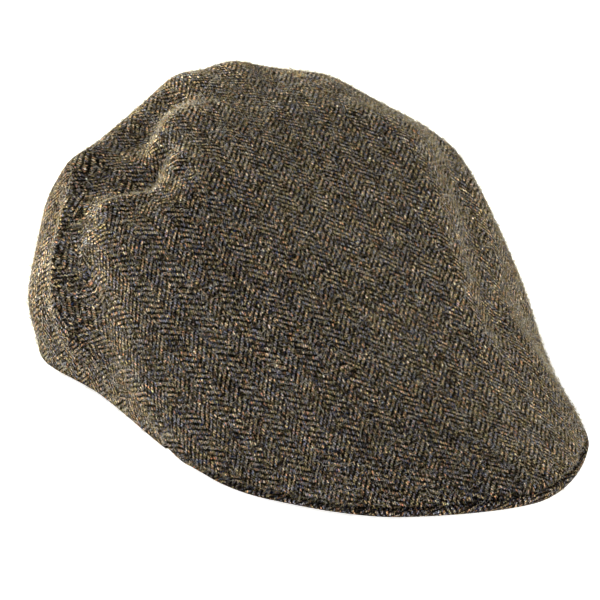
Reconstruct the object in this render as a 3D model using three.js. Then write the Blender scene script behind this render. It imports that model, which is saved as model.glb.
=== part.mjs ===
// A soft flat cap of herringbone tweed in the duckbill cut: one top panel runs from the back of the crown
// over the front and on to the edge of the peak, and two side panels close the sides and meet at the back.
// The cap rests on a surface by itself, on the back of its hem and on the two corners of its peak.
// Millimetres. +Z is up, the peak points to -Y and the wearer's left is +X.
import * as THREE from "three";

// Driving sizes
const CROWN_HEIGHT = 107; // crest of the crown above the surface that the cap rests on
const CROWN_HALF_WIDTH = 99; // middle to the fullest part of a side panel
const FRONT_REACH = 196; // crest forward to the cut edge of the top panel
const BACK_REACH = 84; // crest back to the fullest part of the back
const CLOTH = 2.2; // tweed with the layers fused behind it
const PEAK_THICKNESS = 3.2; // stiff board with the tweed wrapped round it
const PEAK_ROLL = 2.4; // how far the wrapped edge of the peak rolls out past the top panel
const ROLL_SINK = 0.6; // top of that roll below the face of the top panel
const BAND_HEIGHT = 30; // at the sides and back
const BAND_FRONT_HEIGHT = 18; // under the low front of the crown
const BAND_THICKNESS = 1.6;
const BAND_EASE = 0.8; // room between the panels and what stands behind their hem
const SEAM_GAP = 0.3; // air between two pieces that are sewn together

// How finely the cloth is faceted
const COLUMNS_PER_SPOKE = 5; // the same for every piece, so that facets match across a seam
const TOP_ROWS = 16;
const SIDE_ROWS = 7;
const PEAK_ROWS = 5;
const ROLL_POINTS = 5;
const BAND_ROWS = 3;

// The crown as spokes from the crest to the hem, for the wearer's left: the first row points forward, the
// last one back. Each place is [across, along, up], in shares of CROWN_HALF_WIDTH, of FRONT_REACH in front
// of the crest or BACK_REACH behind it, and of CROWN_HEIGHT. band is the lower edge of the inner band, and
// "hem" where the band stands behind the panels. seam is the level at which the top panel gives way to a
// side panel, where the shoulder is level 2, the bulge level 3 and the hem level 4.
const SPOKES = [
  { mid: [0, -0.235, 0.88], shoulder: [0, -0.47, 0.66], bulge: [0, -0.69, 0.425],
    hem: [0, -1, 0.21], band: [0, -0.585, 0.32], seam: 4 },
  { mid: [0.175, -0.23, 0.89], shoulder: [0.305, -0.46, 0.645], bulge: [0.43, -0.645, 0.395],
    hem: [0.505, -0.84, 0.12], band: [0.26, -0.565, 0.3], seam: 4 },
  { mid: [0.35, -0.205, 0.9], shoulder: [0.56, -0.395, 0.635], bulge: [0.61, -0.505, 0.39],
    hem: [0.765, -0.605, 0.04], band: [0.5, -0.505, 0.23], seam: 4 },
  { mid: [0.43, -0.155, 0.93], shoulder: [0.7, -0.29, 0.67], bulge: [0.83, -0.38, 0.37],
    hem: [0.89, -0.465, 0.038], band: [0.7, -0.41, 0.12], seam: 4 },
  { mid: [0.445, -0.11, 0.96], shoulder: [0.785, -0.19, 0.735], bulge: [0.935, -0.275, 0.325],
    hem: [0.935, -0.365, 0.05], band: [0.835, -0.285, 0.05], seam: 3.95 },
  { mid: [0.42, -0.035, 0.97], shoulder: [0.87, -0.06, 0.72], bulge: [0.955, -0.11, 0.36],
    hem: [0.915, -0.095, 0.035], band: "hem", seam: 3.5 },
  { mid: [0.42, 0.18, 0.995], shoulder: [0.77, 0.25, 0.695], bulge: [1, 0.25, 0.325],
    hem: [0.935, 0.29, 0.01], band: "hem", seam: 2.2 },
  { mid: [0.305, 0.375, 0.98], shoulder: [0.74, 0.49, 0.72], bulge: [0.77, 0.64, 0.325],
    hem: [0.71, 0.65, 0], band: "hem", seam: 1.8 },
  { mid: [0.15, 0.54, 0.995], shoulder: [0.375, 0.715, 0.615], bulge: [0.44, 0.92, 0.335],
    hem: [0.39, 0.87, 0], band: "hem", seam: 1.85 },
  { mid: [0, 0.58, 0.975], shoulder: [0, 0.8, 0.68], bulge: [0, 1, 0.335],
    hem: [0, 0.95, 0], band: "hem", seam: 1.95 },
];
const CREST_UP = 0.995; // height of the middle of the crown, as a share of CROWN_HEIGHT

// Folds and dents of the worn cloth, each along a path of [spoke, level] stops, where spokes below nought are
// on the wearer's right. width is the half width as a share of CROWN_HALF_WIDTH, and rise the height as a
// share of CROWN_HEIGHT, below nought for a hollow.
const FOLDS = [
  { name: "hollow above the right temple", path: [[-6.2, 1.3], [-5.6, 1.5], [-4.95, 1.45]],
    width: 0.13, rise: -0.075 },
  { name: "crease round the front of that hollow", path: [[-5.2, 1.8], [-4.8, 1.5], [-4.9, 1.2]],
    width: 0.07, rise: 0.025 },
  { name: "dip behind the right shoulder", path: [[-7, 1], [-6.5, 1.4]], width: 0.12, rise: -0.055 },
  { name: "dip across the back of the crown", path: [[7, 0.6], [5.9, 0.9], [5, 1.2], [4.85, 1.8]],
    width: 0.13, rise: -0.01 },
  { name: "ridge down the left of the front", path: [[2.7, 1.15], [1.7, 1.5], [1, 2], [0.55, 2.8]],
    width: 0.09, rise: 0.024 },
  { name: "valley beside that ridge", path: [[4.15, 1.8], [2.2, 1.95], [1.35, 2.4], [0.9, 2.75]],
    width: 0.11, rise: -0.04 },
  { name: "ridge along the right seam", path: [[-6.5, 1.85], [-6.1, 2.05], [-5.8, 2.25], [-5.6, 2.6], [-5.3, 3.3]],
    width: 0.07, rise: 0.035 },
  { name: "valley in front of that seam", path: [[-5.1, 2.5], [-4.8, 3.4]], width: 0.09, rise: -0.02 },
];

const LEVELS = 4; // mid, shoulder, bulge and hem
const HALF_TURN = SPOKES.length - 1; // spokes from the front to the back
const FULL_TURN = 2 * HALF_TURN;
const PINCH = 4; // spoke at which a side panel begins, beside the end of the peak
const HORN = 4.6; // spoke at which the peak's board ends behind the side panel
const ROLL_END = 3.8; // spoke at which the roll of the peak has died away
const ROLL_FADE = 0.6;
const HORN_TUCK = 0.12; // of a level, how far the horn of the board is tucked up behind the hem
const STEP = 0.02; // of a spoke or level, for slopes
const UP = new THREE.Vector3(0, 0, 1);

// Turn a place in shares into a point.
function place([across, along, up]) {
  const reach = along < 0 ? FRONT_REACH : BACK_REACH;
  return new THREE.Vector3(across * CROWN_HALF_WIDTH, along * reach, up * CROWN_HEIGHT);
}

// Close a half row of points into a ring by mirroring it to the wearer's right.
function ringThrough(points) {
  const mirrored = points.slice(1, -1).reverse().map((p) => new THREE.Vector3(-p.x, p.y, p.z));
  return new THREE.CatmullRomCurve3([...points, ...mirrored], true, "catmullrom");
}

function onRing(ring, spoke) {
  const turn = ((spoke % FULL_TURN) + FULL_TURN) % FULL_TURN;
  return ring.getPoint(turn / FULL_TURN);
}

const rings = ["mid", "shoulder", "bulge", "hem"].map((level) =>
  ringThrough(SPOKES.map((spoke) => place(spoke[level]))),
);
const seamRing = ringThrough(SPOKES.map((spoke) => new THREE.Vector3(0, 0, spoke.seam)));
const crest = place([0, 0, CREST_UP]);

// The smooth outer face before it is folded. Each spoke starts on the far side of the crest, so that the
// crown is level there.
function smoothFace(spoke, level) {
  const stops = rings.map((ring) => onRing(ring, spoke));
  const beyond = new THREE.Vector3(-stops[0].x, -stops[0].y, stops[0].z);
  const profile = new THREE.CatmullRomCurve3([beyond, crest, ...stops], false, "catmullrom");
  return profile.getPoint((1 + level) / (1 + LEVELS));
}

// The outward direction of a face that is a function of spoke and level.
function outward(face, spoke, level) {
  if (level < STEP) return UP.clone();
  const around = face(spoke + STEP, level).sub(face(spoke - STEP, level));
  const down = face(spoke, Math.min(level + STEP, LEVELS)).sub(face(spoke, level - STEP));
  return down.cross(around).normalize();
}

const folds = FOLDS.map((fold) => {
  const stops = fold.path.map(([spoke, level]) => smoothFace(spoke, level));
  return {
    lines: stops.slice(1).map((stop, k) => new THREE.Line3(stops[k], stop)),
    width: fold.width * CROWN_HALF_WIDTH,
    rise: fold.rise * CROWN_HEIGHT,
  };
});

// How far all the folds lift the cloth at a point, fading out above the hem.
function foldRise(point, level) {
  const nearest = new THREE.Vector3();
  const distanceTo = (line) => line.closestPointToPoint(point, true, nearest).distanceTo(point);
  let rise = 0;
  for (const fold of folds) {
    const away = Math.min(...fold.lines.map(distanceTo));
    rise += fold.rise * Math.exp(-((away / fold.width) ** 2));
  }
  return rise * (1 - THREE.MathUtils.smoothstep(level, LEVELS - 1, LEVELS));
}

// The outer face of the cap's cloth, folds and all, flat where it lies on the surface.
function face(spoke, level) {
  const point = smoothFace(spoke, level);
  point.addScaledVector(outward(smoothFace, spoke, level), foldRise(point, level));
  point.z = Math.max(point.z, 0);
  return point;
}

// A point some way inside the outer face.
function under(spoke, level, depth) {
  const point = face(spoke, level).addScaledVector(outward(face, spoke, level), -depth);
  point.z = Math.max(point.z, 0);
  return point;
}

// The level of the edge that a panel keeps half a gap away from the seam, down for the side panel.
function seamLevel(spoke, side) {
  const level = Math.min(onRing(seamRing, spoke).z, LEVELS);
  const perLevel = face(spoke, level).distanceTo(face(spoke, level - STEP)) / STEP;
  return level + (side * SEAM_GAP) / 2 / perLevel;
}

// A closed solid from a list of points and faces, given by their corners. A face of four corners is cut along
// its shorter diagonal, and one that has shrunk to a line at the crest is left out.
function solid(points, faces) {
  const corners = [];
  for (let face of faces) {
    const between = (j, k) => points[face[j]].distanceTo(points[face[k]]);
    if (face.length === 4 && between(1, 3) < between(0, 2)) face = [...face.slice(1), face[0]];
    for (let k = 1; k + 1 < face.length; k += 1) {
      const [a, b, c] = [points[face[0]], points[face[k]], points[face[k + 1]]];
      if (a.equals(b) || b.equals(c) || c.equals(a)) continue;
      corners.push(a, b, c);
    }
  }
  const geometry = new THREE.BufferGeometry().setFromPoints(corners);
  geometry.computeVertexNormals();
  return geometry;
}

// A sheet of cloth: outer(i, j) and inner(i, j) give its two faces, i running round and j down. It closes
// on itself round the cap, or has an edge at both ends.
function sheet(columns, rows, outer, inner, closed) {
  const points = [];
  const last = closed ? columns : columns + 1;
  for (const side of [outer, inner]) {
    for (let i = 0; i < last; i += 1) {
      for (let j = 0; j <= rows; j += 1) points.push(side(i, j));
    }
  }
  const at = (side, i, j) => (side * last + (i % last)) * (rows + 1) + j;
  const faces = [];
  for (let i = 0; i < columns; i += 1) {
    for (let j = 0; j < rows; j += 1) {
      faces.push([at(0, i, j), at(0, i, j + 1), at(0, i + 1, j + 1), at(0, i + 1, j)]);
      faces.push([at(1, i, j), at(1, i + 1, j), at(1, i + 1, j + 1), at(1, i, j + 1)]);
    }
    faces.push([at(0, i, rows), at(1, i, rows), at(1, i + 1, rows), at(0, i + 1, rows)]);
    faces.push([at(0, i, 0), at(0, i + 1, 0), at(1, i + 1, 0), at(1, i, 0)]);
  }
  for (let j = 0; j < rows && !closed; j += 1) {
    faces.push([at(0, 0, j), at(1, 0, j), at(1, 0, j + 1), at(0, 0, j + 1)]);
    faces.push([at(0, columns, j), at(0, columns, j + 1), at(1, columns, j + 1), at(1, columns, j)]);
  }
  return { points, faces };
}

// The top panel, one piece from the seam at the back to the edge of the peak.
function topPanel() {
  const spokeAt = (i) => i / COLUMNS_PER_SPOKE;
  const levelAt = (i, j) => (seamLevel(spokeAt(i), -1) * j) / TOP_ROWS;
  const underCrest = crest.clone().addScaledVector(UP, foldRise(crest, 0) - CLOTH);
  const overCrest = underCrest.clone().addScaledVector(UP, CLOTH);
  const outer = (i, j) => (j === 0 ? overCrest : face(spokeAt(i), levelAt(i, j)));
  const inner = (i, j) => (j === 0 ? underCrest : under(spokeAt(i), levelAt(i, j), CLOTH));
  const { points, faces } = sheet(FULL_TURN * COLUMNS_PER_SPOKE, TOP_ROWS, outer, inner, true);
  return solid(points, faces);
}

// A side panel, from the pinch beside the peak round to the seam at the centre of the back.
function sidePanel(firstSpoke, lastSpoke) {
  const columns = Math.round((lastSpoke - firstSpoke) * COLUMNS_PER_SPOKE);
  const spokeAt = (i) => THREE.MathUtils.lerp(firstSpoke, lastSpoke, i / columns);
  const levelAt = (i, j) => THREE.MathUtils.lerp(seamLevel(spokeAt(i), 1), LEVELS, j / SIDE_ROWS);
  const outer = (i, j) => face(spokeAt(i), levelAt(i, j));
  const inner = (i, j) => under(spokeAt(i), levelAt(i, j), CLOTH);
  const { points, faces } = sheet(columns, SIDE_ROWS, outer, inner, false);
  return solid(points, faces);
}

// The lower edge of the inner band. Behind the panels it follows the hem, one thickness of cloth further in.
const bandRing = ringThrough(
  SPOKES.map((spoke, number) => {
    if (spoke.band !== "hem") return place(spoke.band);
    const hem = face(number, LEVELS);
    const inward = outward(face, number, LEVELS).setZ(0).normalize();
    return hem.addScaledVector(inward, -(CLOTH + BAND_EASE));
  }),
);

// A point of the band, so far up and so far in from its outer face.
function bandPoint(spoke, up, inward) {
  const point = onRing(bandRing, spoke);
  const around = onRing(bandRing, spoke + STEP).sub(onRing(bandRing, spoke - STEP));
  const out = around.cross(UP).normalize();
  point.z = Math.max(point.z, 0) + up;
  return point.addScaledVector(out, -inward);
}

// The plain band inside the hem, low in front, where the crown slopes down over it.
function headband() {
  const spokeAt = (i) => i / COLUMNS_PER_SPOKE;
  const heightAt = (spoke) => {
    const fromFront = Math.min(spoke, FULL_TURN - spoke);
    const share = THREE.MathUtils.smoothstep(fromFront, 1, HORN);
    return THREE.MathUtils.lerp(BAND_FRONT_HEIGHT, BAND_HEIGHT, share);
  };
  const upAt = (i, j) => heightAt(spokeAt(i)) * (1 - j / BAND_ROWS);
  const outer = (i, j) => bandPoint(spokeAt(i), upAt(i, j), 0);
  const inner = (i, j) => bandPoint(spokeAt(i), upAt(i, j), BAND_THICKNESS);
  const { points, faces } = sheet(FULL_TURN * COLUMNS_PER_SPOKE, BAND_ROWS, outer, inner, true);
  return solid(points, faces);
}

// How much of the peak's roll is left at a spoke: all of it in front, none at the pinch.
function rollShare(spoke) {
  return 1 - THREE.MathUtils.smoothstep(Math.abs(spoke), ROLL_END - ROLL_FADE, ROLL_END);
}

// The upper face of the peak's board, from the band out to the underside of the top panel's edge, where it
// comes in along the slope of the cloth.
function board(spoke, share) {
  const root = bandPoint(spoke, PEAK_THICKNESS, -SEAM_GAP);
  const keep = rollShare(spoke);
  const room = THREE.MathUtils.lerp(BAND_EASE, SEAM_GAP, keep);
  const tuck = HORN_TUCK * THREE.MathUtils.smoothstep(Math.abs(spoke), ROLL_END, HORN);
  const edge = under(spoke, LEVELS - tuck, CLOTH + room);
  const slope = face(spoke, LEVELS).sub(face(spoke, LEVELS - STEP)).normalize();
  const middle = root.clone().lerp(edge, 0.5);
  const alongCloth = edge.clone().addScaledVector(slope, -0.4 * root.distanceTo(edge));
  const bend = middle.lerp(alongCloth, keep);
  return new THREE.QuadraticBezierCurve3(root, bend, edge).getPoint(share);
}

// One section of the peak: along the board, round the rolled edge and back along the underside.
function peakSection(spoke) {
  const keep = rollShare(spoke);
  const shares = Array.from({ length: PEAK_ROWS + 1 }, (_, k) => k / PEAK_ROWS);
  const upper = shares.map((share) => board(spoke, share));
  const down = shares.map((share) => {
    const around = board(spoke + STEP, share).sub(board(spoke - STEP, share));
    const out = board(spoke, share + STEP).sub(board(spoke, share - STEP));
    // The board's edge is upright where it stands against the band or a side panel.
    const normal = out.cross(around).normalize();
    return UP.clone().lerp(normal, share * keep).setLength(-PEAK_THICKNESS);
  });
  const lower = upper.map((point, k) => {
    const low = point.clone().add(down[k]);
    low.z = Math.max(low.z, 0);
    return low;
  });
  const rimTop = upper[PEAK_ROWS];
  const rimFoot = lower[PEAK_ROWS];

  const edge = face(spoke, LEVELS);
  const normal = outward(face, spoke, LEVELS);
  const out = edge.clone().sub(face(spoke, LEVELS - STEP)).normalize();
  const stack = CLOTH + SEAM_GAP + PEAK_THICKNESS;
  const offEdge = (outShare, depth) => {
    const rolled = edge.clone().addScaledVector(out, outShare).addScaledVector(normal, -depth);
    rolled.z = Math.max(rolled.z, 0);
    return rolled;
  };
  const roll = [rimTop.clone().lerp(offEdge(SEAM_GAP, CLOTH + SEAM_GAP), keep)];
  for (let k = 0; k < ROLL_POINTS; k += 1) {
    const turn = Math.PI * (0.5 - k / (ROLL_POINTS - 1));
    const outShare = SEAM_GAP + PEAK_ROLL * Math.cos(turn);
    const depth = (stack + ROLL_SINK) / 2 - ((stack - ROLL_SINK) / 2) * Math.sin(turn);
    const plain = rimTop.clone().lerp(rimFoot, (k + 1) / (ROLL_POINTS + 1));
    roll.push(plain.lerp(offEdge(outShare, depth), keep));
  }
  return [...upper, ...roll, ...lower.slice(0, PEAK_ROWS).reverse()];
}

// The stiffened peak under the top panel, with the tweed rolled round its edge.
function peak() {
  const columns = 2 * HORN * COLUMNS_PER_SPOKE;
  const sections = Array.from({ length: columns + 1 }, (_, i) => peakSection(i / COLUMNS_PER_SPOKE - HORN));
  const size = sections[0].length;
  const faces = [];
  for (let i = 0; i < columns; i += 1) {
    for (let k = 0; k < size; k += 1) {
      const next = (k + 1) % size;
      faces.push([i * size + k, i * size + next, (i + 1) * size + next, (i + 1) * size + k]);
    }
  }
  // Each end is closed in strips between the upper and the lower face, with a fan over the rim.
  for (const [first, turned] of [[0, false], [columns * size, true]]) {
    const ends = [];
    for (let k = 0; k < PEAK_ROWS - 1; k += 1) ends.push([k, size - 1 - k, size - 2 - k, k + 1]);
    const rim = Array.from({ length: ROLL_POINTS + 4 }, (_, k) => PEAK_ROWS - 1 + k);
    ends.push([rim[0], ...rim.slice(1).reverse()]);
    for (const end of ends) faces.push((turned ? end.reverse() : end).map((k) => first + k));
  }
  return solid(sections.flat(), faces);
}

const tweed = { color: 0x5a4f3c, roughness: 0.95, metalness: 0 };
const halfGap = 0.01; // of a spoke, half of the gap at the centre-back seam
const pieces = {
  top_panel: [topPanel(), { ...tweed }],
  side_panel_left: [sidePanel(PINCH, HALF_TURN - halfGap), { ...tweed, color: 0x665a45 }],
  side_panel_right: [sidePanel(HALF_TURN + halfGap, FULL_TURN - PINCH), { ...tweed, color: 0x665a45 }],
  peak: [peak(), { ...tweed, color: 0x453d31 }],
  headband: [headband(), { color: 0x2b2724, roughness: 0.8, metalness: 0 }],
};

const cap = new THREE.Group();
for (const [name, [geometry, look]] of Object.entries(pieces)) {
  const mesh = new THREE.Mesh(geometry, new THREE.MeshStandardMaterial(look));
  mesh.name = name;
  cap.add(mesh);
}

// The part's origin is under the middle of the cap, on the surface that it rests on.
const box = new THREE.Box3().setFromObject(cap);
const middle = box.getCenter(new THREE.Vector3());
cap.position.set(-middle.x, -middle.y, -box.min.z);

export default cap;
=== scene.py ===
"""A worn flat cap of herringbone tweed, lying on a pale floor in soft studio light.

The cloth follows the same spokes and folds as the solids, with finer facets, rounded seams, the weave laid
out as flat cloth, and loose fibres standing off the surface. Sizes are in millimetres up to MM.
"""

import math

import bpy
import numpy as np
from mathutils import Matrix, Vector


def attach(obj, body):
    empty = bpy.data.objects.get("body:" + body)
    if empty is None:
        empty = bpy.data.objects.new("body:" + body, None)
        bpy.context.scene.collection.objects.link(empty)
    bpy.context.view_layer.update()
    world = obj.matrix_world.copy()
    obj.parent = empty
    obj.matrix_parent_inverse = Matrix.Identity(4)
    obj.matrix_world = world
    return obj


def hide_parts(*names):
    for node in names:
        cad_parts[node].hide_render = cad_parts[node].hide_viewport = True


MM = 0.001

# The cap's sizes, as in its solids
CROWN_HEIGHT = 107
CROWN_HALF_WIDTH = 99
FRONT_REACH = 196
BACK_REACH = 84
CLOTH = 2.2
PEAK_THICKNESS = 3.2
PEAK_ROLL = 2.4
ROLL_SINK = 0.6
GROOVE = 1.1  # how much wider the gap above the rolled edge looks than it is in the solids
GROOVE_START = 3  # power that opens that gap more slowly at its ends
ROLL_TOP = 0.4  # where the rolled edge stands highest, as a share of its width
BAND_HEIGHT = 30
BAND_FRONT_HEIGHT = 18
BAND_THICKNESS = 1.6
BAND_EASE = 0.8
SEAM_GAP = 0.3
FORWARD = 56.47  # from the middle of the cap's outline back to its crest
SIDEWAYS = 0.27  # and from that middle over to the crest, on the wearer's left

# The weave: a 2/2 twill that turns round every COLUMN_YARNS
YARN = 0.69
COLUMN_YARNS = 10
TWILL_YARNS = 4

# How finely the cloth is drawn
COLUMNS_PER_SPOKE = 17
TOP_ROWS = 110
TOP_CROWDING = 1.5  # power that crowds the rows towards the panel's edge
SIDE_ROWS = 36
SIDE_CROWDING = 1.15  # and the same towards the side panels' seam
BAND_ROWS = 8
PEAK_ROWS = 16
ROLL_POINTS = 17
PATTERN_COLUMNS_PER_SPOKE = 3
PATTERN_ROWS = 18
PATTERN_ROUNDS = 80

# Where the camera stands: at the wearer's right front, in degrees and millimetres
CAMERA_TURN = 35.4
CAMERA_RISE = 28.6
CAMERA_ROLL = 2.5
CAMERA_DISTANCE = 1525
PICTURE_SIZE = 600
PIXELS_PER_MM = 2.316  # at the crest's foot
CREST_FOOT_PIXEL = (255.4, 331.2)
SENSOR = 36

# Spokes from the crest to the hem, one a column, from the front to the back on the wearer's left. Each place
# is (across, along, up) in shares of the half width, of the front or back reach, and of the height.
MID = [
    (0, -0.235, 0.88), (0.175, -0.23, 0.89), (0.35, -0.205, 0.9), (0.43, -0.155, 0.93),
    (0.445, -0.11, 0.96), (0.42, -0.035, 0.97), (0.42, 0.18, 0.995), (0.305, 0.375, 0.98),
    (0.15, 0.54, 0.995), (0, 0.58, 0.975),
]
SHOULDER = [
    (0, -0.47, 0.66), (0.305, -0.46, 0.645), (0.56, -0.395, 0.635), (0.7, -0.29, 0.67),
    (0.785, -0.19, 0.735), (0.87, -0.06, 0.72), (0.77, 0.25, 0.695), (0.74, 0.49, 0.72),
    (0.375, 0.715, 0.615), (0, 0.8, 0.68),
]
BULGE = [
    (0, -0.69, 0.425), (0.43, -0.645, 0.395), (0.61, -0.505, 0.39), (0.83, -0.38, 0.37),
    (0.935, -0.275, 0.325), (0.955, -0.11, 0.36), (1, 0.25, 0.325), (0.77, 0.64, 0.325),
    (0.44, 0.92, 0.335), (0, 1, 0.335),
]
HEM = [
    (0, -1, 0.21), (0.505, -0.84, 0.12), (0.765, -0.605, 0.04), (0.89, -0.465, 0.038),
    (0.935, -0.365, 0.05), (0.915, -0.095, 0.035), (0.935, 0.29, 0.01), (0.71, 0.65, 0),
    (0.39, 0.87, 0), (0, 0.95, 0),
]
BAND_FRONT = [
    (0, -0.585, 0.32), (0.26, -0.565, 0.3), (0.5, -0.505, 0.23), (0.7, -0.41, 0.12), (0.835, -0.285, 0.05),
]
SEAM = [4, 4, 4, 4, 3.95, 3.5, 2.2, 1.8, 1.85, 1.95]  # level at which the top panel ends
CREST_UP = 0.995

# Folds and dents along paths of (spoke, level), below nought on the wearer's right: path, half width as a
# share of the half width of the crown, rise as a share of its height.
FOLDS = [
    ([(-6.2, 1.3), (-5.6, 1.5), (-4.95, 1.45)], 0.13, -0.075),  # hollow above the right temple
    ([(-5.2, 1.8), (-4.8, 1.5), (-4.9, 1.2)], 0.07, 0.025),  # crease round the front of that hollow
    ([(-7, 1), (-6.5, 1.4)], 0.12, -0.055),  # dip behind the right shoulder
    ([(7, 0.6), (5.9, 0.9), (5, 1.2), (4.85, 1.8)], 0.13, -0.01),  # dip across the back of the crown
    ([(2.7, 1.15), (1.7, 1.5), (1, 2), (0.55, 2.8)], 0.09, 0.024),  # ridge down the left of the front
    ([(4.15, 1.8), (2.2, 1.95), (1.35, 2.4), (0.9, 2.75)], 0.11, -0.04),  # valley beside that ridge
    # ridge along the right seam
    ([(-6.5, 1.85), (-6.1, 2.05), (-5.8, 2.25), (-5.6, 2.6), (-5.3, 3.3)], 0.07, 0.035),
    ([(-5.1, 2.5), (-4.8, 3.4)], 0.09, -0.02),  # valley in front of that seam
]

# Smaller creases that the solids leave out
FINE_FOLDS = [
    ([(-6.4, 1.35), (-5.9, 1.55)], 0.08, 0.025),  # slope down into the hollow
    ([(-5.35, 1.25), (-5.3, 1.42), (-5.35, 1.65)], 0.065, -0.042),  # its floor, close by the crease
    ([(-5.2, 1.85), (-4.85, 1.62), (-4.65, 1.4), (-4.68, 1.25)], 0.04, 0.012),  # crease round its front
    # narrow ridge along the right seam
    ([(-6.7, 1.65), (-6.3, 1.88), (-5.95, 2.12), (-5.7, 2.4), (-5.55, 2.8), (-5.4, 3.4)], 0.04, 0.018),
]

LEVELS = 4
HALF_TURN = len(MID) - 1
FULL_TURN = 2 * HALF_TURN
PINCH = 4  # spoke at which the side panels begin
HORN = 4.6  # spoke at which the peak ends
ROLL_END = 3.8  # spoke at which the rolled edge ends, and over how many spokes it fades out
ROLL_FADE = 1.1
HORN_TUCK = 0.12  # how far up from the hem the peak's ends are tucked, in levels
BOARD_BEND = 0.4  # how far from its edge the peak's board bends, as a share of its reach
ROLL_FROM = 0.9  # where round its section the wrapped edge starts and how far it goes, in half turns
ROLL_TURN = 1.4
PEAK_SLANT = (0.75, 0.66)  # cosine and sine of the slant at which the wrapped cloth is cut
STEP = 0.02  # small step in spokes or levels, for slopes
SEAM_ROUND = 1.8  # how far in a panel's edge begins to turn down into a seam, and how deep it goes
SEAM_DEPTH = 1.6
UP = np.array([0.0, 0.0, 1.0])

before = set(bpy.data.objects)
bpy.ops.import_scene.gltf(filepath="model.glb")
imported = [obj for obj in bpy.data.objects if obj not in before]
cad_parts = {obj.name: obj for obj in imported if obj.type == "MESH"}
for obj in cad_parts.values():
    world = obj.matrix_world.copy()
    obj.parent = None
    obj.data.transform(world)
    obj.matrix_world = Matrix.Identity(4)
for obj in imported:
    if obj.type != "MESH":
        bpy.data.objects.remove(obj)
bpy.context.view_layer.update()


def smoothstep(x, low, high):
    t = np.clip((np.asarray(x, float) - low) / (high - low), 0, 1)
    return t * t * (3 - 2 * t)


def unit(vectors):
    return vectors / np.linalg.norm(vectors, axis=-1, keepdims=True)


def spline(stops, at, closed, own_curve=False):
    """Points on a uniform Catmull-Rom curve, with at counted from its first stop.

    Stops are (count, ..., size). With own_curve, each place in at has a curve of its own, which is the second
    axis of the stops."""
    count = len(stops)
    at = np.asarray(at, float)
    if closed:
        at = at % count
        first = np.floor(at).astype(int)
        index = [(first + k) % count for k in (-1, 0, 1, 2)]
    else:
        first = np.clip(np.floor(at).astype(int), 0, count - 2)
        before = 2 * stops[0] - stops[1]
        after = 2 * stops[-1] - stops[-2]
        stops = np.concatenate([before[None], stops, after[None]])
        index = [first + k for k in (0, 1, 2, 3)]
    if own_curve:
        p0, p1, p2, p3 = (stops[k, np.arange(at.size)] for k in index)
    else:
        p0, p1, p2, p3 = (stops[k] for k in index)
    w = (at - first).reshape(at.shape + (1,) * (p0.ndim - at.ndim))
    out, into = (p2 - p0) / 2, (p3 - p1) / 2
    return (
        (2 * p1 - 2 * p2 + out + into) * w**3
        + (-3 * p1 + 3 * p2 - 2 * out - into) * w**2
        + out * w
        + p1
    )


def place(shares):
    across, along, up = np.moveaxis(np.asarray(shares, float), -1, 0)
    reach = np.where(along < 0, FRONT_REACH, BACK_REACH)
    return np.stack([across * CROWN_HALF_WIDTH, along * reach, up * CROWN_HEIGHT], axis=-1)


def ring_through(points):
    """Close a half row of points into a ring by mirroring it to the wearer's right."""
    return np.concatenate([points, points[-2:0:-1] * (-1, 1, 1)])


RINGS = [ring_through(place(row)) for row in (MID, SHOULDER, BULGE, HEM)]
SEAM_RING = ring_through(np.array([(0, 0, level) for level in SEAM]))
CREST = place((0, 0, CREST_UP))


def smooth_face(spoke, level):
    """The outer face before it is folded."""
    spoke, level = np.broadcast_arrays(np.asarray(spoke, float), np.asarray(level, float))
    shape = spoke.shape
    spoke, level = spoke.ravel(), level.ravel()
    stops = [spline(ring, spoke, True) for ring in RINGS]
    beyond = stops[0] * (-1, -1, 1)
    crest = np.broadcast_to(CREST, beyond.shape)
    profile = np.stack([beyond, crest, *stops])
    return spline(profile, 1 + level, False, own_curve=True).reshape(*shape, 3)


def outward(face, spoke, level):
    spoke, level = np.asarray(spoke, float), np.asarray(level, float)
    around = face(spoke + STEP, level) - face(spoke - STEP, level)
    below = np.minimum(level + STEP, LEVELS)
    down = face(spoke, below) - face(spoke, np.maximum(level - STEP, 0))
    normal = np.cross(down, around)
    size = np.linalg.norm(normal, axis=-1, keepdims=True)
    near_crest = (level < STEP)[..., None] | (size < 1e-9)
    return np.where(near_crest, UP, normal / np.maximum(size, 1e-9))


def away_from_path(points, stops):
    """The distance of each point from the nearest place on a path."""
    nearest = np.full(points.shape[:-1], np.inf)
    for start, end in zip(stops[:-1], stops[1:]):
        along = end - start
        share = np.clip(((points - start) @ along) / (along @ along), 0, 1)
        gap = np.linalg.norm(points - start - share[..., None] * along, axis=-1)
        nearest = np.minimum(nearest, gap)
    return nearest


def fold_rise(points, level):
    rise = np.zeros(points.shape[:-1])
    for path, width, height in FOLDS + FINE_FOLDS:
        spokes, levels = np.array(path).T
        away = away_from_path(points, smooth_face(spokes, levels))
        rise += height * CROWN_HEIGHT * np.exp(-((away / (width * CROWN_HALF_WIDTH)) ** 2))
    return rise * (1 - smoothstep(level, LEVELS - 1, LEVELS))


def face(spoke, level):
    """The cap's outer face, folds and all, flat where it lies on the surface."""
    points = smooth_face(spoke, level)
    points = points + outward(smooth_face, spoke, level) * fold_rise(points, level)[..., None]
    points[..., 2] = np.maximum(points[..., 2], 0)
    return points


def seam_level(spoke):
    return np.minimum(spline(SEAM_RING, spoke, True)[..., 2], LEVELS)


def per_level(spoke, level):
    """How many millimetres a level is worth at a place."""
    return np.linalg.norm(face(spoke, level) - face(spoke, level - STEP), axis=-1) / STEP


def turned_down(away):
    """How far a rounded edge has turned down at a distance from its end."""
    share = np.clip(1 - away / SEAM_ROUND, 0, 1)
    return SEAM_DEPTH * (1 - np.sqrt(1 - share**2))


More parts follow.
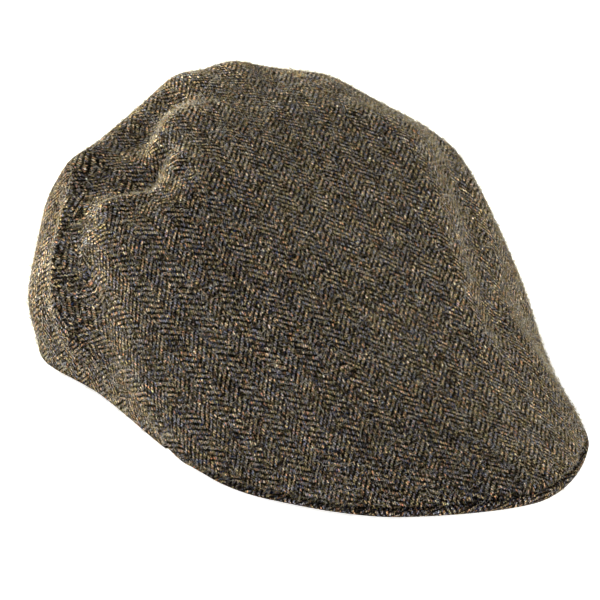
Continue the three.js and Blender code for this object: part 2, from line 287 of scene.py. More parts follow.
def sheet_faces(columns, rows, closed):
    """Faces of a closed sheet of cloth, with its outer points first, then its inner ones."""
    last = columns if closed else columns + 1
    i, j = np.meshgrid(np.arange(columns), np.arange(rows), indexing="ij")

    def at(side, i, j):
        return (side * last + i % last) * (rows + 1) + j

    groups = [
        (at(0, i, j), at(0, i, j + 1), at(0, i + 1, j + 1), at(0, i + 1, j)),
        (at(1, i, j), at(1, i + 1, j), at(1, i + 1, j + 1), at(1, i, j + 1)),
    ]
    i = np.arange(columns)
    groups.append((at(0, i, rows), at(1, i, rows), at(1, i + 1, rows), at(0, i + 1, rows)))
    groups.append((at(0, i, 0), at(0, i + 1, 0), at(1, i + 1, 0), at(1, i, 0)))
    if not closed:
        j = np.arange(rows)
        groups.append((at(0, 0, j), at(1, 0, j), at(1, 0, j + 1), at(0, 0, j + 1)))
        end = columns
        groups.append((at(0, end, j), at(0, end, j + 1), at(1, end, j + 1), at(1, end, j)))
    return np.concatenate([np.stack(group, axis=-1).reshape(-1, 4) for group in groups])


def make_piece(name, points, faces, cloth, material, node):
    """A mesh piece that stands for a CAD node. cloth is each point's place in the flat cloth."""
    mesh = bpy.data.meshes.new(name)
    shift = np.array([SIDEWAYS, FORWARD, 0])
    mesh.from_pydata((points + shift) * MM, [], [tuple(face) for face in faces.tolist()])
    corners = np.empty(len(mesh.loops), dtype=np.int32)
    mesh.loops.foreach_get("vertex_index", corners)
    layer = mesh.uv_layers.new(name="cloth")
    layer.data.foreach_set("uv", (cloth[corners] * MM).astype(np.float32).ravel())
    mesh.polygons.foreach_set("use_smooth", np.ones(len(mesh.polygons), dtype=bool))
    mesh.validate()
    mesh.update()
    piece = bpy.data.objects.new(name, mesh)
    bpy.context.scene.collection.objects.link(piece)
    mesh.materials.append(material)
    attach(piece, "root")
    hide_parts(node)
    return piece


def flatten(points, links, flat):
    """Lay a bent sheet of cloth flat, from a first rough layout, with every link near its own length."""
    start, end = links.T
    length = np.linalg.norm(points[start] - points[end], axis=-1)
    weight = 1 / length
    count = len(points)
    stiffness = np.zeros((count, count))
    np.add.at(stiffness, (start, start), weight)
    np.add.at(stiffness, (end, end), weight)
    np.add.at(stiffness, (start, end), -weight)
    np.add.at(stiffness, (end, start), -weight)
    solve = np.linalg.inv(stiffness[1:, 1:])
    for _ in range(PATTERN_ROUNDS):
        across = flat[start] - flat[end]
        pull = across * (weight * length / np.linalg.norm(across, axis=-1))[:, None]
        force = np.zeros((count, 2))
        np.add.at(force, start, pull)
        np.add.at(force, end, -pull)
        flat = np.concatenate([flat[:1] * 0, solve @ force[1:]])
    return flat


def top_pattern():
    """The top panel laid flat: a grid of places, by column and row of the pattern."""
    columns, rows = FULL_TURN * PATTERN_COLUMNS_PER_SPOKE, PATTERN_ROWS
    spoke = (np.arange(columns) / PATTERN_COLUMNS_PER_SPOKE)[:, None]
    level = seam_level(spoke) * np.arange(1, rows + 1) / rows
    grid = smooth_face(spoke, level)
    points = np.concatenate([CREST[None], grid.reshape(-1, 3)])
    heading = unit(grid[:, -1, :2] - CREST[:2])
    steps = np.diff(grid, axis=1, prepend=np.broadcast_to(CREST, (columns, 1, 3)))
    out = np.cumsum(np.linalg.norm(steps, axis=-1), axis=1)
    rough = np.concatenate([np.zeros((1, 2)), (heading[:, None] * out[..., None]).reshape(-1, 2)])
    i, j = np.meshgrid(np.arange(columns), np.arange(rows), indexing="ij")

    def at(i, j):
        return np.where(j < 0, 0, 1 + (i % columns) * rows + j)

    links = [(at(i, j), at(i, j - 1)), (at(i, j), at(i + 1, j))]
    links += [(at(i, j)[:, 1:], at(i + 1, j - 1)[:, 1:]), (at(i + 1, j)[:, 1:], at(i, j - 1)[:, 1:])]
    links = np.concatenate([np.stack([a.ravel(), b.ravel()], axis=-1) for a, b in links])
    flat = flatten(points, links, rough)
    grid = flat[1:].reshape(columns, rows, 2)
    centre = np.broadcast_to(flat[:1], (columns, 1, 2))
    return np.concatenate([centre, grid], axis=1)


def top_panel(material):
    columns, rows = FULL_TURN * COLUMNS_PER_SPOKE, TOP_ROWS
    spoke = (np.arange(columns) / COLUMNS_PER_SPOKE)[:, None]
    seam = seam_level(spoke)
    # Rows lie closer together towards the edge, which turns down into the seam.
    share = 1 - (1 - np.arange(rows + 1) / rows) ** TOP_CROWDING
    groove = GROOVE * roll_share(np.minimum(spoke, FULL_TURN - spoke)) ** GROOVE_START
    seam = seam - groove / per_level(spoke, seam)
    level = seam * share
    outer = face(spoke, level)
    normal = outward(face, spoke, level)
    away = (seam - level) * per_level(spoke, seam)
    inner = outer - normal * CLOTH
    outer = outer - normal * turned_down(away)[..., None]
    points = np.stack([outer, inner])
    points[..., 2] = np.maximum(points[..., 2], 0)

    pattern = top_pattern()
    by_row = spline(np.moveaxis(pattern, 1, 0), share * PATTERN_ROWS, False)
    cloth = spline(np.moveaxis(by_row, 1, 0), spoke[:, 0] * PATTERN_COLUMNS_PER_SPOKE, True)
    cloth = np.stack([cloth, cloth]).reshape(-1, 2)
    faces = sheet_faces(columns, rows, True)
    return make_piece("top_tweed", points.reshape(-1, 3), faces, cloth, material, "top_panel")


def side_panel(name, first, last, material, node):
    columns = round((last - first) * COLUMNS_PER_SPOKE)
    spoke = np.linspace(first, last, columns + 1)[:, None]
    seam = seam_level(spoke)
    share = (np.arange(SIDE_ROWS + 1) / SIDE_ROWS) ** SIDE_CROWDING
    level = seam + (LEVELS - seam) * share
    outer = face(spoke, level)
    normal = outward(face, spoke, level)
    down = (level - seam) * per_level(spoke, seam)
    along = np.linalg.norm(np.diff(face(spoke[:, 0], LEVELS - 0.5), axis=0), axis=-1)
    along = np.concatenate([[0], np.cumsum(along)])[:, None]
    back = along[-1] - along if first < HALF_TURN else along
    inner = outer - normal * CLOTH
    drop = np.maximum(turned_down(down), turned_down(back))
    outer = outer - normal * drop[..., None]
    points = np.stack([outer, inner])
    points[..., 2] = np.maximum(points[..., 2], 0)
    depth = np.linalg.norm(np.diff(outer, axis=1), axis=-1)
    depth = np.concatenate([np.zeros((columns + 1, 1)), np.cumsum(depth, axis=1)], axis=1)
    cloth = np.stack([np.broadcast_to(along, depth.shape), depth - depth[:, -1:]], axis=-1)
    cloth = np.stack([cloth, cloth]).reshape(-1, 2)
    faces = sheet_faces(columns, SIDE_ROWS, False)
    return make_piece(name, points.reshape(-1, 3), faces, cloth, material, node)


def band_ring():
    front = place(BAND_FRONT)
    spokes = np.arange(len(BAND_FRONT), HALF_TURN + 1)
    hem = face(spokes, np.full(len(spokes), float(LEVELS)))
    inward = outward(face, spokes, np.full(len(spokes), float(LEVELS))) * (1, 1, 0)
    return ring_through(np.concatenate([front, hem - unit(inward) * (CLOTH + BAND_EASE)]))


BAND_RING = band_ring()


def band_point(spoke, up, inward):
    points = spline(BAND_RING, spoke, True)
    around = spline(BAND_RING, spoke + STEP, True) - spline(BAND_RING, spoke - STEP, True)
    out = unit(np.cross(around, UP))
    points[..., 2] = np.maximum(points[..., 2], 0) + up
    return points - out * inward


def headband(material):
    columns = FULL_TURN * COLUMNS_PER_SPOKE
    spoke = (np.arange(columns) / COLUMNS_PER_SPOKE)[:, None]
    from_front = np.minimum(spoke, FULL_TURN - spoke)
    share = smoothstep(from_front, 1, HORN)
    height = BAND_FRONT_HEIGHT + (BAND_HEIGHT - BAND_FRONT_HEIGHT) * share
    up = height * (1 - np.arange(BAND_ROWS + 1) / BAND_ROWS)
    spoke = np.broadcast_to(spoke, up.shape)
    points = np.stack([band_point(spoke, up, 0), band_point(spoke, up, BAND_THICKNESS)])
    along = np.linalg.norm(np.diff(points[0, :, -1], axis=0, append=points[0, :1, -1]), axis=-1)
    along = np.cumsum(along)[:, None] - along[0]
    cloth = np.stack([np.broadcast_to(along, up.shape), up], axis=-1)
    cloth = np.stack([cloth, cloth]).reshape(-1, 2)
    faces = sheet_faces(columns, BAND_ROWS, True)
    return make_piece("inner_band", points.reshape(-1, 3), faces, cloth, material, "headband")


def roll_share(spoke):
    return 1 - smoothstep(np.abs(spoke), ROLL_END - ROLL_FADE, ROLL_END)


def under(spoke, level, depth):
    points = face(spoke, level) - outward(face, spoke, level) * depth
    points[..., 2] = np.maximum(points[..., 2], 0)
    return points


def board(spoke, share):
    """The upper face of the peak's board, from the band out to the top panel's edge."""
    keep = roll_share(spoke)[..., None]
    root = band_point(spoke, PEAK_THICKNESS, -SEAM_GAP)
    room = BAND_EASE + (SEAM_GAP - BAND_EASE) * keep
    tuck = HORN_TUCK * smoothstep(np.abs(spoke), ROLL_END, HORN)
    edge = under(spoke, LEVELS - tuck, CLOTH + room)
    hem = np.full(spoke.shape, float(LEVELS))
    slope = unit(face(spoke, hem) - face(spoke, hem - STEP))
    reach = np.linalg.norm(root - edge, axis=-1, keepdims=True)
    bend = (root + edge) / 2 * (1 - keep) + (edge - BOARD_BEND * reach * slope) * keep
    share = share[..., None]
    return root * (1 - share) ** 2 + 2 * bend * share * (1 - share) + edge * share**2


def peak(material):
    columns = round(2 * HORN * COLUMNS_PER_SPOKE)
    spokes = np.linspace(-HORN, HORN, columns + 1)
    spoke, share = np.meshgrid(spokes, np.arange(PEAK_ROWS + 1) / PEAK_ROWS, indexing="ij")
    keep = roll_share(spoke)[..., None]
    upper = board(spoke, share)
    around = board(spoke + STEP, share) - board(spoke - STEP, share)
    out = board(spoke, share + STEP) - board(spoke, share - STEP)
    lean = share[..., None] * keep
    down = -PEAK_THICKNESS * unit(UP * (1 - lean) + unit(np.cross(out, around)) * lean)
    lower = upper + down
    lower[..., 2] = np.maximum(lower[..., 2], 0)

    hem = np.full(spokes.shape, float(LEVELS))
    edge = face(spokes, hem)
    normal = outward(face, spokes, hem)
    out = unit(edge - face(spokes, hem - STEP))
    stack = CLOTH + SEAM_GAP + PEAK_THICKNESS
    keep = keep[:, 0]
    roll = []
    for k in range(ROLL_POINTS):
        turn = math.pi * (ROLL_FROM - ROLL_TURN * k / (ROLL_POINTS - 1))
        width = PEAK_ROLL * (ROLL_TOP if math.cos(turn) < 0 else 1 - ROLL_TOP)
        beyond = SEAM_GAP + PEAK_ROLL * ROLL_TOP + width * math.cos(turn)
        depth = (stack + ROLL_SINK) / 2 - (stack - ROLL_SINK) / 2 * math.sin(turn)
        rolled = edge + out * beyond - normal * depth
        rolled[:, 2] = np.maximum(rolled[:, 2], 0)
        plain = upper[:, -1] + (lower[:, -1] - upper[:, -1]) * (k + 1) / (ROLL_POINTS + 1)
        roll.append(plain * (1 - keep) + rolled * keep)
    first = edge + out * SEAM_GAP - normal * (CLOTH + SEAM_GAP)
    roll.insert(0, upper[:, -1] * (1 - keep) + first * keep)
    section = np.concatenate([upper, np.stack(roll, axis=1), lower[:, -2::-1]], axis=1)

    size = section.shape[1]
    i, k = np.meshgrid(np.arange(columns), np.arange(size), indexing="ij")
    after = (k + 1) % size
    faces = np.stack(
        [i * size + k, i * size + after, (i + 1) * size + after, (i + 1) * size + k], axis=-1
    ).reshape(-1, 4)
    start = np.arange(size // 2 - 1)
    cap = np.stack([start, size - 1 - start, size - 2 - start, start + 1], axis=-1)
    faces = np.concatenate([faces, cap, (cap + columns * size)[:, ::-1]])

    # The wrapped cloth is cut on the slant, so both its directions run aslant to the edge.
    length = np.linalg.norm(np.diff(edge, axis=0), axis=-1)
    length = np.concatenate([[0], np.cumsum(length)])
    depth = np.linalg.norm(np.diff(section, axis=1), axis=-1)
    depth = np.concatenate([np.zeros((columns + 1, 1)), np.cumsum(depth, axis=1)], axis=1)
    length = length[:, None]
    one, two = PEAK_SLANT
    cloth = np.stack([length * one + depth * two, length * two - depth * one], axis=-1)
    points = section.reshape(-1, 3)
    return make_piece("peak_edge", points, faces, cloth.reshape(-1, 2), material, "peak")


class Shader:
    """A small helper to wire up a material's nodes."""

    def __init__(self, name):
        self.material = bpy.data.materials.new(name)
        self.material.use_nodes = True
        self.nodes = self.material.node_tree.nodes
        self.links = self.material.node_tree.links
        self.surface = self.nodes["Principled BSDF"]

    def put(self, socket, value):
        if isinstance(value, bpy.types.NodeSocket):
            self.links.new(value, socket)
        else:
            socket.default_value = value

    def math(self, operation, a, b=0.0, c=0.0):
        node = self.nodes.new("ShaderNodeMath")
        node.operation = operation
        for socket, value in zip(node.inputs, (a, b, c)):
            self.put(socket, value)
        return node.outputs[0]

    def parts(self, vector):
        """The first two parts of a vector."""
        node = self.nodes.new("ShaderNodeSeparateXYZ")
        self.put(node.inputs[0], vector)
        return node.outputs[0], node.outputs[1]

    def cloth_place(self):
        """The place in the flat cloth, as two numbers in metres."""
        node = self.nodes.new("ShaderNodeUVMap")
        node.uv_map = "cloth"
        return self.parts(node.outputs["UV"])

    def scaled(self, vector, factor, plus):
        """A vector times one factor, plus another vector."""
        node = self.nodes.new("ShaderNodeVectorMath")
        node.operation = "MULTIPLY_ADD"
        self.put(node.inputs[0], vector)
        node.inputs[1].default_value = (factor, factor, factor)
        self.put(node.inputs[2], plus)
        return node.outputs[0]

    def vector(self, x, y, z=0.0):
        node = self.nodes.new("ShaderNodeCombineXYZ")
        for socket, value in zip(node.inputs, (x, y, z)):
            self.put(socket, value)
        return node.outputs[0]

    def noise(self, where, scale, detail, roughness, colour=False):
        node = self.nodes.new("ShaderNodeTexNoise")
        self.put(node.inputs["Vector"], where)
        node.inputs["Scale"].default_value = scale
        node.inputs["Detail"].default_value = detail
        node.inputs["Roughness"].default_value = roughness
        return node.outputs["Color" if colour else "Fac"]

    def random(self, where):
        node = self.nodes.new("ShaderNodeTexWhiteNoise")
        node.noise_dimensions = "3D"
        self.put(node.inputs["Vector"], where)
        return node.outputs["Value"]

    def dress(self, values):
        """Give the surface its values, by the names of its sockets."""
        for name, value in values.items():
            self.put(self.surface.inputs[name], value)

    def ramp(self, amount, stops):
        node = self.nodes.new("ShaderNodeValToRGB")
        elements = node.color_ramp.elements
        while len(elements) < len(stops):
            elements.new(1.0)
        for element, (position, colour) in zip(elements, stops):
            element.position = position
            element.color = (*colour, 1)
        self.put(node.inputs["Fac"], amount)
        return node.outputs["Color"]

    def mix(self, amount, first, second, blend="MIX"):
        node = self.nodes.new("ShaderNodeMix")
        node.data_type = "RGBA"
        node.blend_type = blend
        self.put(node.inputs["Factor"], amount)
        colours = [socket for socket in node.inputs if socket.type == "RGBA"]
        self.put(colours[0], first if isinstance(first, bpy.types.NodeSocket) else (*first, 1))
        self.put(colours[1], second if isinstance(second, bpy.types.NodeSocket) else (*second, 1))
        return [socket for socket in node.outputs if socket.type == "RGBA"][0]

    def bump(self, height, strength, distance):
        node = self.nodes.new("ShaderNodeBump")
        node.inputs["Strength"].default_value = strength
        node.inputs["Distance"].default_value = distance
        self.put(node.inputs["Height"], height)
        return node.outputs["Normal"]


# Wool shades of the mixed yarns, linear
CHARCOAL = (0.004, 0.004, 0.006)
SOOT = (0.014, 0.012, 0.014)
SLATE = (0.158, 0.164, 0.2)
BROWN = (0.085, 0.06, 0.043)
TAN = (0.31, 0.255, 0.18)
RUST = (0.245, 0.15, 0.09)
OLIVE = (0.225, 0.192, 0.115)
PALE = (0.56, 0.53, 0.5)
BLUE = (0.05, 0.08, 0.17)

# Shades of the floats, by how often each turns up
PALE_YARN = [
    (0.0, SOOT), (0.2, BROWN), (0.34, SLATE), (0.46, OLIVE), (0.56, TAN), (0.66, RUST), (0.74, SLATE),
    (0.86, TAN), (1.0, PALE),
]
DARK_YARN = [
    (0.0, CHARCOAL), (0.55, CHARCOAL), (0.7, SOOT), (0.82, BROWN), (0.88, BLUE), (0.94, SOOT), (1.0, OLIVE),
]
FLOAT_SHARE = 0.8  # how far a shade belongs to one float, and not to the yarn's own slow change
YARN_DRIFT = 0.35  # how fast a yarn's own shade changes along it
YARN_APART = 3.7  # far enough to give neighbouring yarns shades of their own
WEFT_HEIGHT = 0.5  # how high a weft float stands beside a warp float
CROWN_PAINTED_LIGHT = 1.75  # painted light: how much paler a yarn is painted along its middle, where it stands highest
# painted shade: how dark the gaps between yarns are painted
GAP_PAINTED_SHADE = 0.02
GRAIN = 7.5  # contrast of the fibres within a yarn
GRAIN_FLOOR = 0.08
HUE_CHANGE = 0.75  # how far the fibres differ in hue
CONTRAST = 1.5  # of the finished colour, and the factor that lifts it again
LIFT = 2.0
STRAND = 0.28  # how far a loose strand covers the yarns
STRAND_CURL = 3.0
STRAND_THINNESS = 30.0
STRAND_SHADES = [(0.0, SLATE), (0.42, OLIVE), (0.47, SLATE), (0.58, PALE)]
STRAND_RELIEF = 0.6  # height of a strand and of the grain beside that of a yarn
GRAIN_RELIEF = 0.25
CLOTH_RELIEF = 0.4  # height of a yarn in mm
WOOL_SURFACE = {
    "Roughness": 0.9, "Specular IOR Level": 0.0, "Sheen Weight": 0.06, "Sheen Roughness": 0.3,
    "Sheen Tint": (0.85, 0.75, 0.45, 1),
}

# Noises over the cloth: scale in yarns, detail and roughness
WANDER = (0.13, 3.0, 0.6)
SHAKE = (0.55, 2.0, 0.6)
STRAY = [(WANDER, 2.6), (SHAKE, 1.4)]  # how far yarns stray, in yarns
DRIFT = (1.0, 2.0, 0.7)
DRIFT_SPREAD = (2.0, -0.5)  # stretches that noise over the whole row of shades
UNEVEN = (0.05, 4.0, 0.7)
UNEVEN_SPREAD = (1.3, 0.35)
FINE_GRAIN = (0.8, 3.0, 0.75)
CURL = (0.9, 3.0, 0.75)
STRANDS = (0.8, 2.0, 0.6)
STRAND_MIX = (0.35, 2.0, 0.6)


def tweed(name):
    """Herringbone tweed: yarn by yarn, a 2/2 twill whose lines turn round at every column."""
    shader = Shader(name)
    across, along = (shader.math("DIVIDE", part, YARN * MM) for part in shader.cloth_place())
    plain = shader.vector(across, along)
    for noise, reach in STRAY:
        aside, onward = shader.parts(shader.noise(plain, *noise, colour=True))
        across = shader.math("MULTIPLY_ADD", shader.math("SUBTRACT", aside, 0.5), reach, across)
        along = shader.math("MULTIPLY_ADD", shader.math("SUBTRACT", onward, 0.5), reach, along)

    warp, weft = shader.math("FLOOR", across), shader.math("FLOOR", along)
    column = shader.math("FLOOR", shader.math("DIVIDE", shader.math("ADD", warp, 0.5), COLUMN_YARNS))
    odd = shader.math("FLOORED_MODULO", column, 2.0)
    turn = shader.math("MULTIPLY_ADD", odd, -2.0, 1.0)
    step = shader.math("MULTIPLY_ADD", warp, turn, weft)
    step = shader.math("ADD", step, shader.math("MULTIPLY", odd, TWILL_YARNS / 2))
    over = shader.math("LESS_THAN", shader.math("FLOORED_MODULO", step, float(TWILL_YARNS)), TWILL_YARNS / 2)

    # Each yarn is spun from mixed shades that change along it, and most of all from float to float. The last
    # part of a place keeps one noise apart from the others.
    number = shader.math("FLOOR", shader.math("DIVIDE", step, float(TWILL_YARNS)))
    drifts = (shader.math("MULTIPLY", along, YARN_DRIFT), shader.math("MULTIPLY", across, YARN_DRIFT))
    warp_place = shader.vector(shader.math("MULTIPLY", warp, YARN_APART), drifts[0], 2.0)
    weft_place = shader.vector(drifts[1], shader.math("MULTIPLY", weft, YARN_APART), 7.0)

    def mixed(yarn, drift_place, shades, seed):
        own = shader.random(shader.vector(yarn, number, seed))
        drift = shader.math("MULTIPLY_ADD", shader.noise(drift_place, *DRIFT), *DRIFT_SPREAD)
        away = shader.math("SUBTRACT", own, drift)
        return shader.ramp(shader.math("MULTIPLY_ADD", away, FLOAT_SHARE, drift), shades)

    pale = mixed(warp, warp_place, PALE_YARN, 1.5)
    dark = mixed(weft, weft_place, DARK_YARN, 8.5)
    yarns = shader.mix(over, dark, pale)

    # Round yarns: each float stands proud along its middle and dips where the next one crosses it.
    def hump(value):
        return shader.math("SINE", shader.math("MULTIPLY", shader.math("FRACT", value), math.pi))

    under_float = shader.math("SUBTRACT", 1.0, over)
    warp_height = shader.math("MULTIPLY", over, hump(across))
    weft_height = shader.math("MULTIPLY", under_float, hump(along))
    height = shader.math("MULTIPLY_ADD", weft_height, WEFT_HEIGHT, warp_height)

    # The wool fibres themselves, as grain finer than a yarn and as short curly strands over it.
    fine = shader.vector(across, along, 4.0)
    grain = shader.math("SUBTRACT", shader.noise(fine, *FINE_GRAIN), 0.5)
    grain = shader.math("MAXIMUM", shader.math("MULTIPLY_ADD", grain, GRAIN, 1.0), GRAIN_FLOOR)
    curl = shader.noise(fine, *CURL, colour=True)
    strand = shader.noise(shader.scaled(curl, STRAND_CURL, fine), *STRANDS)
    away = shader.math("ABSOLUTE", shader.math("SUBTRACT", strand, 0.5))
    away = shader.math("MINIMUM", shader.math("MULTIPLY", away, STRAND_THINNESS), 1.0)
    strand = shader.math("SUBTRACT", 1.0, away)
    strand_shade = shader.ramp(shader.noise(fine, *STRAND_MIX), STRAND_SHADES)

    # Painted shade darkens the gaps between yarns and painted light makes each yarn paler along its middle;
    # the cloth is a little uneven, and no two fibres have quite the same hue.
    # painted shade in the gaps and painted light on the yarns' middles, from each yarn's height
    painted_yarn_shade = shader.math("MULTIPLY_ADD", height, CROWN_PAINTED_LIGHT, GAP_PAINTED_SHADE)
    uneven = shader.math("MULTIPLY_ADD", shader.noise(plain, *UNEVEN), *UNEVEN_SPREAD)
    # the painted yarn shade, times the cloth's random unevenness and grain
    shade = shader.math("MULTIPLY", shader.math("MULTIPLY", painted_yarn_shade, uneven), grain)
    colour = shader.mix(1.0, yarns, shader.vector(shade, shade, shade), "MULTIPLY")
    colour = shader.mix(shader.math("MULTIPLY", strand, STRAND), colour, strand_shade)
    middle = 1 - HUE_CHANGE / 2
    colour = shader.mix(1.0, colour, shader.scaled(curl, HUE_CHANGE, (middle, middle, middle)), "MULTIPLY")
    deeper = shader.nodes.new("ShaderNodeGamma")
    shader.put(deeper.inputs["Color"], colour)
    deeper.inputs["Gamma"].default_value = CONTRAST
    colour = shader.mix(1.0, deeper.outputs[0], (LIFT, LIFT, LIFT), "MULTIPLY")
    relief = shader.math("MULTIPLY_ADD", strand, STRAND_RELIEF, height)
    relief = shader.math("MULTIPLY_ADD", grain, GRAIN_RELIEF, relief)
    relief = shader.bump(relief, 1.0, CLOTH_RELIEF * MM)
    shader.dress({"Base Color": colour, "Normal": relief, **WOOL_SURFACE})
    return shader.material


# Loose fibres that stand out of the cloth, in mm
TOP_FIBRES, NAP_FIBRES, SIDE_FIBRES, PEAK_FIBRES = 36000, 24000, 6000, 2500
FIBRE_LENGTH = (1.2, 4.2)
NAP_LENGTH = (0.6, 1.6)
FIBRE_WIDTH = 0.12
FIBRE_LEAN = (15, 80)  # degrees from square to the cloth
FIBRE_CURL = 0.35  # how far the tip bends aside, as a share of the length
FIBRE_STEPS = 3
FIBRE_SHADES = [
    ("pale_fibre", (0.75, 0.7, 0.6)), ("tan_fibre", (0.4, 0.3, 0.16)), ("olive_fibre", (0.3, 0.27, 0.12)),
    ("grey_fibre", (0.22, 0.23, 0.27)),
]
SEED = 7

draws = np.random.default_rng(SEED)


def fibre(name, shade):
    shader = Shader(name)
    shader.dress({"Base Color": (*shade, 1), "Roughness": 0.7, "Specular IOR Level": 0.2})
    return shader.material


def fuzz(name, piece, count, lengths, materials):
    """Curved hair-thin ribbons, each narrowing to a tip, that grow out of the outer side of a piece."""
    mesh = piece.data
    mesh.calc_loop_triangles()
    corners = np.empty(3 * len(mesh.loop_triangles), dtype=np.int32)
    mesh.loop_triangles.foreach_get("vertices", corners)
    spots = np.empty(3 * len(mesh.vertices), dtype=np.float32)
    mesh.vertices.foreach_get("co", spots)
    first, second, third = (spots.reshape(-1, 3) / MM)[corners.reshape(-1, 3)].transpose(1, 0, 2)
    normals = np.cross(second - first, third - first)
    inside = np.array([0, 0, CROWN_HEIGHT / 3])
    area = np.linalg.norm(normals, axis=1) * (np.sum(normals * (first - inside), axis=1) > 0)
    chosen = draws.choice(len(area), count, p=area / area.sum())
    one, two = draws.random((2, count, 1))
    one, two = np.where(one + two > 1, 1 - one, one), np.where(one + two > 1, 1 - two, two)
    root = first[chosen] + one * (second - first)[chosen] + two * (third - first)[chosen]
    out = unit(normals[chosen])
    along = unit(np.cross(out, draws.normal(size=(count, 3))))
    lean = np.radians(draws.uniform(*FIBRE_LEAN, (count, 1)))
    length = draws.uniform(*lengths, (count, 1))
    start = out * np.cos(lean) + along * np.sin(lean)
    bend = np.cross(out, along) * draws.normal(0, FIBRE_CURL, (count, 1)) - out * FIBRE_CURL * np.cos(lean)
    side = unit(np.cross(start, draws.normal(size=(count, 3)))) * FIBRE_WIDTH / 2

    rows = []
    for share in np.arange(FIBRE_STEPS) / FIBRE_STEPS:
        middle = root + length * (share * start + share**2 * bend)
        rows += [middle - side, middle + side]
    rows.append(root + length * (start + bend))
    points = np.stack(rows, axis=1)
    points[..., 2] = np.maximum(points[..., 2], FIBRE_WIDTH)
    many = len(rows)
    quads = [(2 * k, 2 * k + 1, 2 * k + 3, 2 * k + 2) for k in range(FIBRE_STEPS - 1)]
    shapes = quads + [(many - 3, many - 2, many - 1)]
    faces = [tuple(i * many + corner for corner in shape) for i in range(count) for shape in shapes]
    hair = bpy.data.meshes.new(name)
    hair.from_pydata(points.reshape(-1, 3) * MM, [], faces)
    kinds = np.repeat(draws.integers(len(materials), size=count), len(shapes))
    for material in materials:
        hair.materials.append(material)
    hair.polygons.foreach_set("material_index", kinds.astype(np.int32))
    hair.update()
    ribbon = bpy.data.objects.new(name, hair)
    bpy.context.scene.collection.objects.link(ribbon)
    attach(ribbon, "root")


RIB = 1.1  # width of a rib of the inner band, in mm
BAND_RELIEF = 0.2
BAND_SHADES = [(0.3, (0.012, 0.011, 0.010)), (0.7, (0.035, 0.031, 0.027))]


def band_cloth():
    """The plain ribbed cloth of the inner band."""
    shader = Shader("band_cloth")
    along, up = shader.cloth_place()
    rib = shader.math("SINE", shader.math("MULTIPLY", along, 2 * math.pi / (RIB * MM)))
    thread = shader.noise(shader.vector(along, up), 1.5 / MM, 3.0, 0.7)
    shade = shader.ramp(thread, BAND_SHADES)
    relief = shader.bump(rib, 0.5, BAND_RELIEF * MM)
    shader.dress({"Base Color": shade, "Roughness": 0.8, "Sheen Weight": 0.2, "Normal": relief})
    return shader.material


def place_camera():
    turn, rise, roll = (math.radians(angle) for angle in (CAMERA_TURN, CAMERA_RISE, CAMERA_ROLL))
    back = Vector((-math.sin(turn) * math.cos(rise), -math.cos(turn) * math.cos(rise), math.sin(rise)))
    right = Vector((math.cos(turn), -math.sin(turn), 0))
    above = back.cross(right)
    picture_right = right * math.cos(roll) + above * math.sin(roll)
    picture_up = above * math.cos(roll) - right * math.sin(roll)
    foot = Vector((SIDEWAYS, FORWARD, 0))
    middle = PICTURE_SIZE / 2
    off_right = (middle - CREST_FOOT_PIXEL[0]) / PIXELS_PER_MM
    off_up = (CREST_FOOT_PIXEL[1] - middle) / PIXELS_PER_MM
    target = foot + picture_right * off_right + picture_up * off_up
    stand = foot + back * CAMERA_DISTANCE
    axis = (stand - target).normalized()
    side = picture_up.cross(axis).normalized()
    top = axis.cross(side)
    data = bpy.data.cameras.new("camera")
    data.sensor_width = SENSOR
    data.lens = SENSOR * PIXELS_PER_MM * CAMERA_DISTANCE / PICTURE_SIZE
    data.clip_start, data.clip_end = 0.1, 20
    camera = bpy.data.objects.new("camera", data)
    bpy.context.scene.collection.objects.link(camera)
    camera.matrix_world = Matrix.Translation(stand * MM) @ Matrix((side, top, axis)).transposed().to_4x4()
    bpy.context.scene.camera = camera


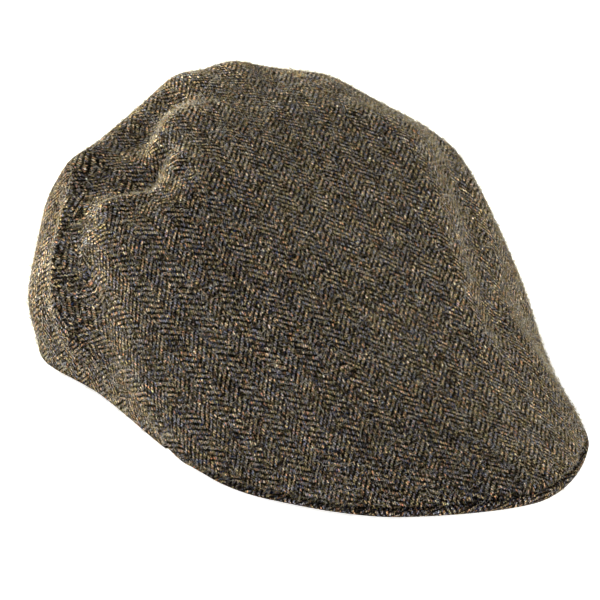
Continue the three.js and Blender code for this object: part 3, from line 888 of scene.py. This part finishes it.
# The studio in metres, with each lamp's name, place, size, power and colour
WHITE = (1, 1, 1)
WARM = (1, 0.98, 0.78)
LAMPS = [
    ("key", (-0.8, 0.0, 1.6), 1.0, 7, WHITE),
    ("left_edge", (-0.25, 1.62, 0.1), 0.8, 230, WARM),
    ("right_edge", (1.4, -0.55, 0.12), 0.8, 36, WARM),
]
LAMP_TARGET = (0, 0, 0.05)
SKY_STRENGTH = 0.4
FLOOR_HALF = 4.0
FLOOR_PAINT = {
    "Base Color": (0.93, 0.93, 0.93, 1), "Roughness": 0.9,
    "Emission Color": (1, 1, 1, 1), "Emission Strength": 0.9,
}


def place_light(name, spot, size, power, colour):
    """A soft lamp that looks at the cap."""
    data = bpy.data.lights.new(name, "AREA")
    data.size = size
    data.energy = power
    data.color = colour
    lamp = bpy.data.objects.new(name, data)
    bpy.context.scene.collection.objects.link(lamp)
    lamp.location = spot
    lamp.rotation_mode = "QUATERNION"
    lamp.rotation_quaternion = (Vector(spot) - Vector(LAMP_TARGET)).to_track_quat("Z", "Y")


def place_floor():
    mesh = bpy.data.meshes.new("floor")
    corners = [(x * FLOOR_HALF, y * FLOOR_HALF, 0) for x, y in ((-1, -1), (1, -1), (1, 1), (-1, 1))]
    mesh.from_pydata(corners, [], [(0, 1, 2, 3)])
    floor = bpy.data.objects.new("floor", mesh)
    bpy.context.scene.collection.objects.link(floor)
    shader = Shader("floor_paint")
    shader.dress(FLOOR_PAINT)
    mesh.materials.append(shader.material)


place_camera()
cloth = tweed("tweed")
top = top_panel(cloth)
left = side_panel("side_tweed_left", PINCH, HALF_TURN, cloth, "side_panel_left")
right = side_panel("side_tweed_right", HALF_TURN, FULL_TURN - PINCH, cloth, "side_panel_right")
edge = peak(cloth)
headband(band_cloth())

wool = [fibre(name, shade) for name, shade in FIBRE_SHADES]
fuzz("top_fuzz", top, TOP_FIBRES, FIBRE_LENGTH, wool)
fuzz("top_nap", top, NAP_FIBRES, NAP_LENGTH, wool[1:])
fuzz("side_fuzz_left", left, SIDE_FIBRES, FIBRE_LENGTH, wool)
fuzz("side_fuzz_right", right, SIDE_FIBRES, FIBRE_LENGTH, wool)
fuzz("peak_fuzz", edge, PEAK_FIBRES, NAP_LENGTH, wool)

place_floor()
for lamp in LAMPS:
    place_light(*lamp)

world = bpy.context.scene.world or bpy.data.worlds.new("world")
bpy.context.scene.world = world
world.use_nodes = True
sky = world.node_tree.nodes["Background"]
sky.inputs["Color"].default_value = (*WHITE, 1)
sky.inputs["Strength"].default_value = SKY_STRENGTH
bpy.context.scene.view_settings.view_transform = "Standard"
